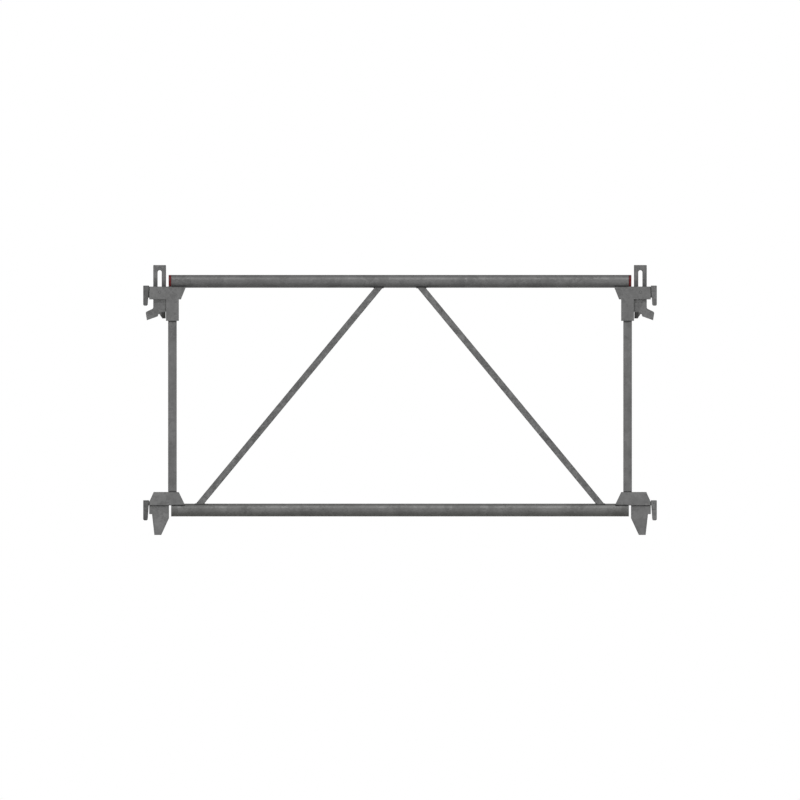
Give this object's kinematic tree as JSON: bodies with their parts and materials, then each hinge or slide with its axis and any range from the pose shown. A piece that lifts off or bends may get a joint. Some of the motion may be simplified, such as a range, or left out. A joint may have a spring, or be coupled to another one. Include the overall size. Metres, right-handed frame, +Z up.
{
  "type": "frame scaffold section",
  "caption": "Horizontal braced tube frame for modular scaffolding, with hook tongues, seats and gravity latches at its ends.",
  "frame": {"origin": "mid-span, middle plane, at the level of the guide fins' lower tips", "axes": "+X along the frame to the right as seen from the front, +Y to the rear, +Z up"},
  "size_m": [1.196, 0.03, 0.6285],
  "materials": {
    "galvanised_tube": "hot-dip galvanised tube, weathered dull grey, mottled",
    "galvanised_plate": "hot-dip galvanised plate, weathered dull grey",
    "forged_hook": "forged steel, galvanised, slightly darker",
    "galvanised_latch": "galvanised steel plate with rubbed edges",
    "bright_pin": "plain steel, rubbed bright",
    "red_plastic": "moulded red plastic, slightly worn"
  },
  "bodies": {
    "root": {"top_rail": "galvanised_tube", "bottom_rail": "galvanised_tube", "left_post": "galvanised_tube", "left_diagonal": "galvanised_tube", "left_end_cap": "red_plastic", "left_front_cheek": "galvanised_plate", "left_rear_cheek": "galvanised_plate", "left_front_gusset": "galvanised_plate", "left_rear_gusset": "galvanised_plate", "left_upper_tongue": "forged_hook", "left_lower_tongue": "forged_hook", "left_guide_fin": "galvanised_plate", "left_guide_pin": "bright_pin", "right_post": "galvanised_tube", "right_diagonal": "galvanised_tube", "right_end_cap": "red_plastic", "right_front_cheek": "galvanised_plate", "right_rear_cheek": "galvanised_plate", "right_front_gusset": "galvanised_plate", "right_rear_gusset": "galvanised_plate", "right_upper_tongue": "forged_hook", "right_lower_tongue": "forged_hook", "right_guide_fin": "galvanised_plate", "right_guide_pin": "bright_pin"},
    "left_bush": {"left_guide_bush": "bright_pin", "left_latch_washers": "bright_pin"},
    "left_latch_plate": {"left_latch": "galvanised_latch"},
    "right_bush": {"right_guide_bush": "bright_pin", "right_latch_washers": "bright_pin"},
    "right_latch_plate": {"right_latch": "galvanised_latch"}
  },
  "joints": [
    {"name": "left_latch_tilt", "type": "hinge", "parent": "root", "child": "left_bush", "pos_m": [-0.5597, 0, 0.5654], "axis": [0, -1, 0], "range_deg": [0, 11]},
    {"name": "left_latch_lift", "type": "slide", "parent": "left_bush", "child": "left_latch_plate", "axis": [0, 0, 1], "range_m": [0, 0.011]},
    {"name": "right_latch_tilt", "type": "hinge", "parent": "root", "child": "right_bush", "pos_m": [0.5597, 0, 0.5654], "axis": [0, 1, 0], "range_deg": [0, 11]},
    {"name": "right_latch_lift", "type": "slide", "parent": "right_bush", "child": "right_latch_plate", "axis": [0, 0, 1], "range_m": [0, 0.011]}
  ],
  "couplings": [
    {"joint": "left_latch_tilt", "follows": "left_latch_lift", "rad_per_m": 17.45},
    {"joint": "right_latch_tilt", "follows": "right_latch_lift", "rad_per_m": 17.45}
  ]
}
